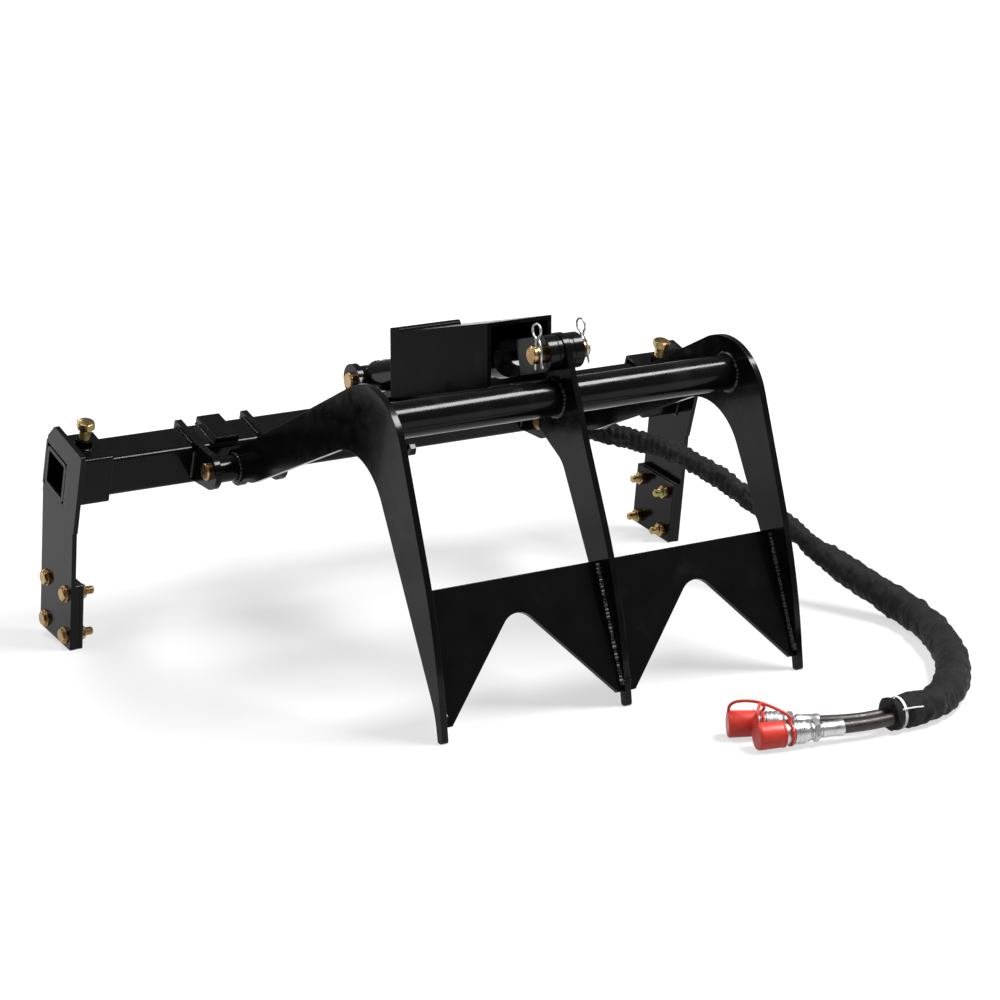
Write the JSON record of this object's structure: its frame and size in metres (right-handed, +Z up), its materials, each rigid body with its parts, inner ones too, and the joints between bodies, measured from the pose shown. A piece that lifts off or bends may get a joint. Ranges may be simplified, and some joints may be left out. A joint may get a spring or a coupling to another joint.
{
  "type": "bolt-on grapple",
  "caption": "Bolt-on hydraulic grapple: square cross tube on two clamped legs, three-plate claw with notched blades, guarded cylinder and wrapped hose pair.",
  "frame": {"origin": "on the floor under the middle of the frame and claw, hoses left out", "axes": "+X along the cross tube to the side where the hoses lie, -Y out of the claw's mouth, +Z up"},
  "size_m": [1.1257, 1.0274, 0.5055],
  "materials": {
    "black_coat": "gloss black coat",
    "yellow_zinc": "yellow zinc plate",
    "bright_zinc": "bright zinc plate",
    "rod_chrome": "polished",
    "hose_rubber": "matte",
    "woven_sleeve": "woven",
    "white_tie": "satin",
    "red_plastic": "satin"
  },
  "bodies": {
    "frame": {"main_tube": "black_coat", "left_sleeve": "black_coat", "right_sleeve": "black_coat", "left_leg_plate": "black_coat", "right_leg_plate": "black_coat", "left_spacer_plate": "black_coat", "right_spacer_plate": "black_coat", "left_back_plate": "black_coat", "right_back_plate": "black_coat", "left_leg_bolts": "yellow_zinc", "right_leg_bolts": "yellow_zinc", "left_leg_nuts": "yellow_zinc", "right_leg_nuts": "yellow_zinc", "left_clamp_nut": "black_coat", "right_clamp_nut": "black_coat", "left_clamp_bolt": "yellow_zinc", "right_clamp_bolt": "yellow_zinc", "left_outer_ear": "black_coat", "left_inner_ear": "black_coat", "right_inner_ear": "black_coat", "right_outer_ear": "black_coat", "left_saddle_strap": "black_coat", "right_saddle_strap": "black_coat", "left_hinge_pin": "yellow_zinc", "right_hinge_pin": "yellow_zinc", "left_cylinder_lug": "black_coat", "right_cylinder_lug": "black_coat", "base_pin": "yellow_zinc", "hose_sleeve": "woven_sleeve", "sleeve_tie": "white_tie", "hose_tail_a": "hose_rubber", "hose_tail_b": "hose_rubber", "hose_ferrules": "bright_zinc", "hose_nuts": "bright_zinc", "hose_couplers": "bright_zinc", "dust_caps": "red_plastic", "cap_lanyards": "red_plastic"},
    "claw": {"claw_plate_left": "black_coat", "claw_plate_centre": "black_coat", "claw_plate_right": "black_coat", "centre_ear_collars": "black_coat", "cross_pipe_left": "black_coat", "cross_pipe_right": "black_coat", "blade_left": "black_coat", "blade_right": "black_coat", "left_hinge_boss": "black_coat", "right_hinge_boss": "black_coat"},
    "barrel": {"cylinder_barrel": "black_coat", "cylinder_gland": "black_coat", "cylinder_guard": "black_coat", "guard_saddles": "black_coat", "transfer_tube": "bright_zinc", "port_fittings": "bright_zinc", "hose_leads": "hose_rubber"},
    "rod": {"rod_piston": "rod_chrome", "cylinder_rod": "rod_chrome", "rod_fork": "black_coat", "fork_pin": "yellow_zinc", "hairpin_clips": "bright_zinc"}
  },
  "joints": [
    {"name": "claw_hinge", "type": "hinge", "parent": "frame", "child": "claw", "pos_m": [0.00375, 0.21267, 0.25], "axis": [1, 0, 0], "range_deg": [-30, 10]},
    {"name": "barrel_swing", "type": "hinge", "parent": "frame", "child": "barrel", "pos_m": [0.00375, 0.33567, 0.322], "axis": [1, 0, 0], "range_deg": [-25.3, 8.5]},
    {"name": "rod_slide", "type": "slide", "parent": "barrel", "child": "rod", "axis": [0, -0.9657, 0.2595], "range_m": [-0.0602, 0.0201]}
  ],
  "couplings": [
    {"joint": "barrel_swing", "follows": "claw_hinge", "ratio": 0.8412},
    {"joint": "rod_slide", "follows": "claw_hinge", "m_per_rad": 0.1147}
  ]
}
